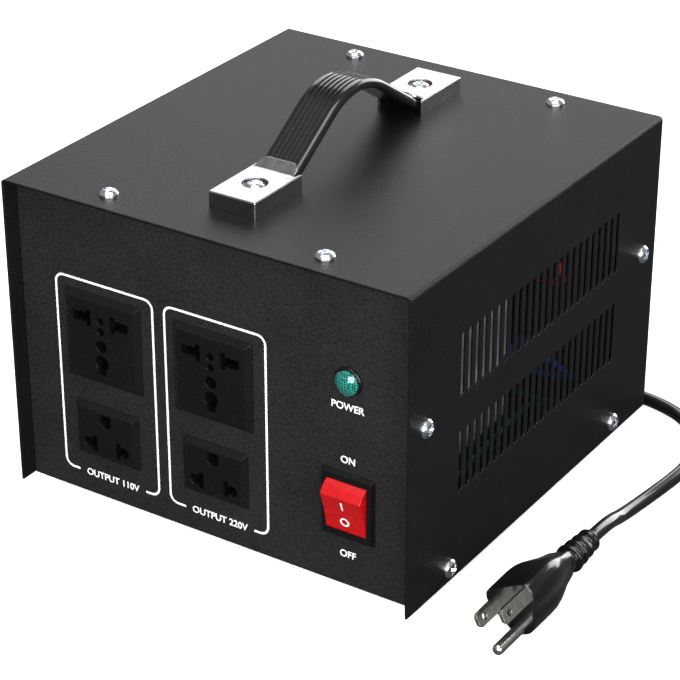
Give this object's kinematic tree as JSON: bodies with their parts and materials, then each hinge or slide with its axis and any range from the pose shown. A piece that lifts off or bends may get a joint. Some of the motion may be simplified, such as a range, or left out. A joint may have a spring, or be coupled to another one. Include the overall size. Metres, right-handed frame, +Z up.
{
  "type": "travel voltage converter",
  "caption": "Bench voltage converter: slotted black steel housing round a transformer, universal outlets, pilot lamp, rocker switch, strap handle and mains lead.",
  "frame": {"origin": "on the floor under the middle of the housing", "axes": "+X to the right seen from the outlets, +Y from the outlets to the back, +Z up"},
  "size_m": [0.2496, 0.3473, 0.1824],
  "materials": {
    "black_sheet": "fine textured",
    "black_vinyl": "glossy",
    "foot_rubber": "matte",
    "black_moulding": "satin",
    "cord_jacket": "glossy",
    "silicon_steel": "laminated",
    "wound_copper": "taped and varnished",
    "green_fibre": "matte",
    "zinc_sheet": "zinc plated",
    "chrome_cap": "polished",
    "green_lens": "glossy",
    "red_rocker": "glossy",
    "white_button": "satin",
    "brass_contact": "polished",
    "yellow_wire": "satin",
    "blue_wire": "satin",
    "black_wire": "satin",
    "red_wire": "satin",
    "bright_zinc": "zinc plated"
  },
  "bodies": {
    "housing": {"breaker_body": "black_moulding", "breaker_nut": "bright_zinc", "chassis": "black_sheet", "clamp_bolts": "bright_zinc", "contacts_two_pin": "brass_contact", "contacts_universal": "brass_contact", "core_bolts": "bright_zinc", "cover": "black_sheet", "feet": "foot_rubber", "foot_screws": "bright_zinc", "handle_cap_front": "chrome_cap", "handle_cap_rear": "chrome_cap", "handle_nuts": "bright_zinc", "handle_screws": "bright_zinc", "handle_strap": "black_vinyl", "lamp_lens": "green_lens", "lamp_nut": "bright_zinc", "lamp_ring": "black_moulding", "lead_coil": "cord_jacket", "lead_end": "cord_jacket", "lead_gland": "black_moulding", "lead_start": "cord_jacket", "outlet_two_pin_left": "black_moulding", "outlet_two_pin_right": "black_moulding", "outlet_universal_left": "black_moulding", "outlet_universal_right": "black_moulding", "plug_blades": "brass_contact", "plug_body": "cord_jacket", "plug_earth_pin": "brass_contact", "selector_body": "black_moulding", "selector_screws": "bright_zinc", "side_screws": "bright_zinc", "switch_frame": "black_moulding", "switch_tabs": "brass_contact", "top_screws": "bright_zinc", "transformer_clamps": "zinc_sheet", "transformer_coil": "wound_copper", "transformer_core": "silicon_steel", "transformer_rails": "green_fibre", "wire_earth": "yellow_wire", "wires_blue": "blue_wire", "wires_feed": "black_wire", "wires_links": "black_wire", "wires_red": "red_wire"},
    "rocker": {"switch_rocker": "red_rocker"},
    "slider": {"selector_slider": "red_rocker"},
    "reset": {"breaker_button": "white_button"}
  },
  "joints": [
    {"name": "rocker_tilt", "type": "hinge", "parent": "housing", "child": "rocker", "pos_m": [0.0669, -0.09221, 0.0445], "axis": [-1, 0, 0], "range_deg": [0, 30]},
    {"name": "selector_slide", "type": "slide", "parent": "housing", "child": "slider", "axis": [1, 0, 0], "range_m": [0, 0.006]},
    {"name": "reset_travel", "type": "slide", "parent": "housing", "child": "reset", "axis": [0, 1, 0], "range_m": [0, 0.003]}
  ]
}
